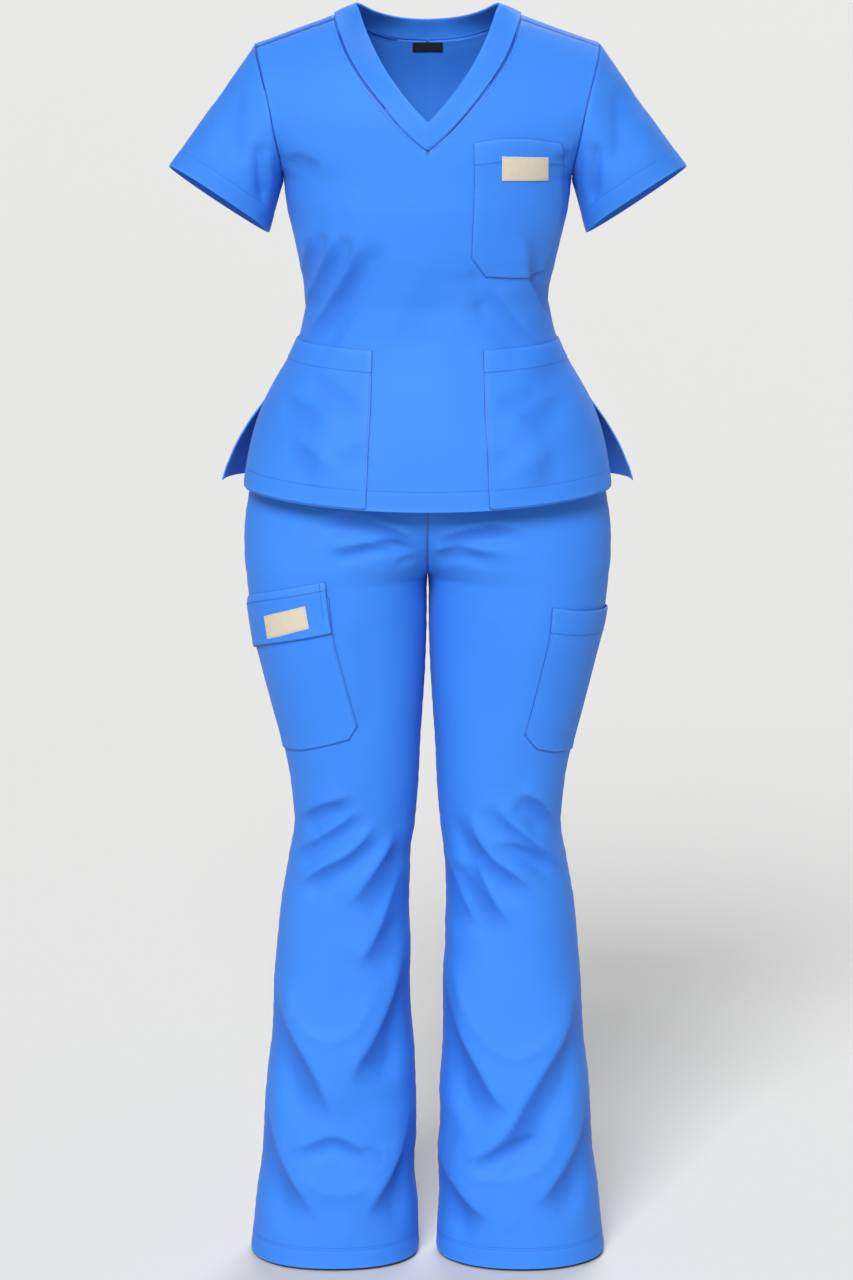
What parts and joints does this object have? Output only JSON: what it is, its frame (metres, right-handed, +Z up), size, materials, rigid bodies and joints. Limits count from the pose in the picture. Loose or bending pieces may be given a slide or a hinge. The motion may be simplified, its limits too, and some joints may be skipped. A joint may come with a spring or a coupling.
{
  "type": "medical scrubs set",
  "caption": "Short-sleeved V-neck scrub top with patch pockets and side vents over flared trousers with thigh cargo pockets, filled out as worn.",
  "frame": {"origin": "on the body centreline, level with the shoulder seams 25 mm out from the neckband, where the wearer's shoulders hold the top", "axes": "+X to the wearer's left, -Y is the front of the garment, +Z up"},
  "size_m": [0.569, 0.2857, 1.4151],
  "materials": {
    "cloth": "smooth matte azure stretch twill",
    "patch": "cream satin-woven patch",
    "label": "black woven label"
  },
  "bodies": {
    "root": {"top_front": "cloth", "top_back": "cloth", "sleeve_right": "cloth", "sleeve_left": "cloth", "neckband": "cloth", "neck_label": "label", "chest_pocket": "cloth", "chest_patch": "patch", "waist_pocket_right": "cloth", "waist_pocket_left": "cloth", "trouser_front_right": "cloth", "trouser_front_left": "cloth", "trouser_back_right": "cloth", "trouser_back_left": "cloth", "waistband": "cloth", "cargo_pocket_right": "cloth", "cargo_flap_right": "cloth", "cargo_patch_right": "patch", "cargo_pocket_left": "cloth"}
  },
  "joints": []
}
